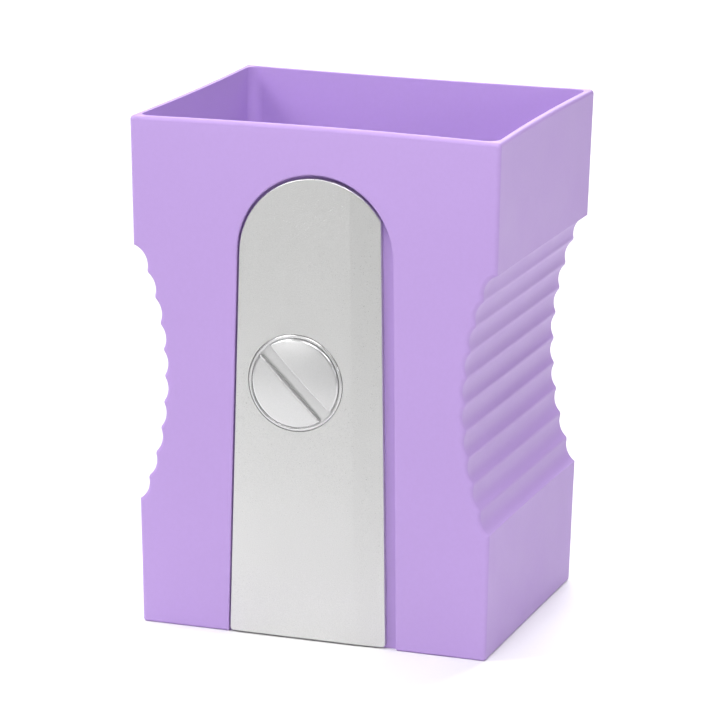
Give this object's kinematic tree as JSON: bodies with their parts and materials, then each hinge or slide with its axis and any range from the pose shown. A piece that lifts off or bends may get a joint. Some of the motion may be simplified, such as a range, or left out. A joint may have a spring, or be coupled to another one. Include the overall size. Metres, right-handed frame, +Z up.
{
  "type": "pencil pot",
  "caption": "Open-top rectangular desk pot with waisted, ribbed sides and a blade-shaped front plate with a slotted screw, like a giant wedge pencil sharpener.",
  "frame": {"origin": "centre of the bottom of the pot, on the surface it stands on", "axes": "+Z up towards the open rim; the front wall with the blade plate faces -Y; +X is to the right seen from the front"},
  "size_m": [0.0766, 0.0656, 0.105],
  "materials": {
    "lilac_plastic": "satin moulded",
    "lilac_base_plastic": "satin moulded",
    "silver_plate": "silver painted, fine grain",
    "silver_screw": "silver painted, smooth"
  },
  "bodies": {
    "root": {"pot_shell": "lilac_plastic", "base_plate": "lilac_base_plastic", "blade_plate": "silver_plate", "blade_screw": "silver_screw"}
  },
  "joints": []
}
